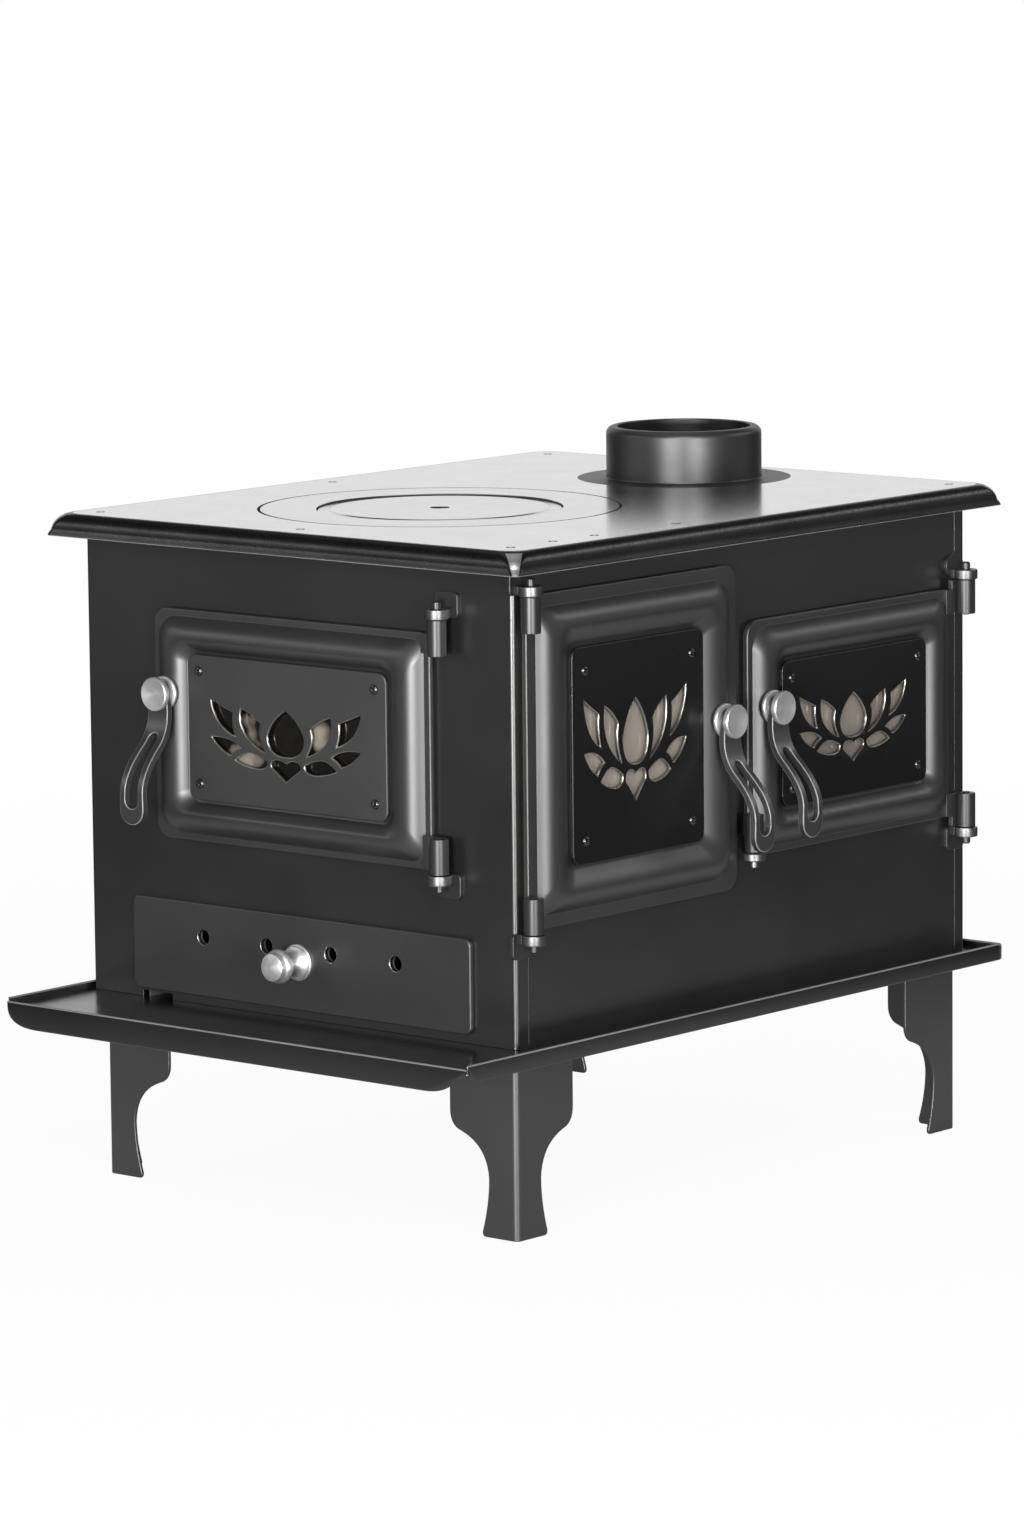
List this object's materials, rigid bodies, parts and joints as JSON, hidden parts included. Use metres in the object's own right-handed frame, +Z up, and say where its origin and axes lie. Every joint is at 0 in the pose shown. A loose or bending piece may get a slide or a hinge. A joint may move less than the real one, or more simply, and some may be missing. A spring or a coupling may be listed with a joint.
{
  "type": "wood-burning cook stove",
  "caption": "Rectangular sheet-steel wood cook stove with firebox, oven, ash drawer, lift-off cooking rings, flue collar and bent-plate legs.",
  "frame": {"origin": "on the floor under the middle of the overall box", "axes": "+X to the oven end, -X the firebox end with its door and ash drawer, -Y the front with the window door and the oven door, +Z up"},
  "size_m": [0.692, 0.527, 0.581],
  "materials": {
    "stove_paint": "satin high-temperature stove paint on folded sheet steel",
    "door_paint": "satin stove paint on pressed sheet steel",
    "vent_paint": "satin stove paint on laser-cut plate",
    "strap_paint": "satin black enamel on bent strap steel",
    "top_steel": "fine-ground cooking plate steel",
    "ring_iron": "machined cast rings, ground on top",
    "collar_enamel": "dark semi-gloss enamel on a spun collar",
    "turned_aluminium": "turned and brushed",
    "hinge_steel": "dark painted barrel",
    "bright_steel": "turned bright steel",
    "screw_black": "black oxide, polished by handling",
    "screw_zinc": "zinc-plated",
    "door_glass": "smoke-tinted ceramic glass",
    "rope_seal": "woven glass-fibre sealing rope",
    "raw_iron": "rough cast grate",
    "inner_steel": "uncoated inner sheet, heat-darkened",
    "fire_clay": "pressed refractory brick, dry and matt",
    "oven_enamel": "speckled oven enamel",
    "rack_chrome": "plated rod"
  },
  "bodies": {
    "stove_body": {"base_tray": "stove_paint", "leg_fire_front": "stove_paint", "leg_fire_back": "stove_paint", "leg_oven_front": "stove_paint", "leg_oven_back": "stove_paint", "fire_end_panel": "stove_paint", "front_panel": "stove_paint", "oven_end_panel": "stove_paint", "back_panel": "stove_paint", "top_frame": "inner_steel", "top_plate": "top_steel", "top_screws": "screw_zinc", "hotplate_seat": "inner_steel", "flue_collar": "collar_enamel", "firebox_partition": "inner_steel", "firebox_floor": "inner_steel", "grate": "raw_iron", "firebricks_side": "fire_clay", "firebricks_back": "fire_clay", "oven_box": "oven_enamel", "oven_rails": "rack_chrome", "oven_rack": "rack_chrome", "drawer_guides": "inner_steel", "hinge_brackets": "bright_steel", "hinge_pins": "bright_steel"},
    "ash_drawer": {"drawer_box": "inner_steel", "drawer_front": "stove_paint", "drawer_knob": "turned_aluminium", "drawer_knob_screw": "screw_zinc"},
    "cooking_ring": {"hotplate_ring": "ring_iron"},
    "cooking_lid": {"hotplate_lid": "ring_iron"},
    "fire_door": {"fire_door_frame": "door_paint", "fire_vent_plate": "vent_paint", "fire_glass": "door_glass", "fire_back_plate": "inner_steel", "fire_seal": "rope_seal", "fire_screws": "screw_black"},
    "fire_handle": {"fire_handle_knob": "turned_aluminium", "fire_handle_strap": "strap_paint", "fire_handle_latch": "inner_steel"},
    "window_door": {"window_door_frame": "door_paint", "window_vent_plate": "vent_paint", "window_glass": "door_glass", "window_back_plate": "inner_steel", "window_seal": "rope_seal", "window_screws": "screw_black"},
    "window_handle": {"window_handle_knob": "turned_aluminium", "window_handle_strap": "strap_paint", "window_handle_latch": "inner_steel"},
    "oven_door": {"oven_door_frame": "door_paint", "oven_vent_plate": "vent_paint", "oven_glass": "door_glass", "oven_back_plate": "inner_steel", "oven_seal": "rope_seal", "oven_screws": "screw_black", "oven_door_spare_knuckle": "hinge_steel"},
    "oven_handle": {"oven_handle_knob": "turned_aluminium", "oven_handle_strap": "strap_paint", "oven_handle_latch": "inner_steel"}
  },
  "joints": [
    {"name": "fire_door_hinge", "type": "hinge", "parent": "stove_body", "child": "fire_door", "pos_m": [-0.265, -0.1421, 0.2845], "axis": [0, 0, 1], "range_deg": [0, 110]},
    {"name": "window_door_hinge", "type": "hinge", "parent": "stove_body", "child": "window_door", "pos_m": [-0.2462, -0.2205, 0.243], "axis": [0, 0, -1], "range_deg": [0, 110]},
    {"name": "oven_door_hinge", "type": "hinge", "parent": "stove_body", "child": "oven_door", "pos_m": [0.306, -0.2205, 0.266], "axis": [0, 0, 1], "range_deg": [0, 110]},
    {"name": "fire_handle_turn", "type": "hinge", "parent": "fire_door", "child": "fire_handle", "pos_m": [-0.251, 0.141, 0.4025], "axis": [-1, 0, 0], "range_deg": [0, 90]},
    {"name": "window_handle_turn", "type": "hinge", "parent": "window_door", "child": "window_handle", "pos_m": [-0.015, -0.2065, 0.382], "axis": [0, 1, 0], "range_deg": [0, 90]},
    {"name": "oven_handle_turn", "type": "hinge", "parent": "oven_door", "child": "oven_handle", "pos_m": [0.046, -0.2065, 0.386], "axis": [0, -1, 0], "range_deg": [0, 90]},
    {"name": "ash_drawer_slide", "type": "slide", "parent": "stove_body", "child": "ash_drawer", "axis": [-1, 0, 0], "range_m": [0, 0.2]},
    {"name": "cooking_ring_lift", "type": "slide", "parent": "stove_body", "child": "cooking_ring", "axis": [0, 0, 1], "range_m": [0, 0.15]},
    {"name": "cooking_lid_lift", "type": "slide", "parent": "cooking_ring", "child": "cooking_lid", "axis": [0, 0, 1], "range_m": [0, 0.15]}
  ]
}
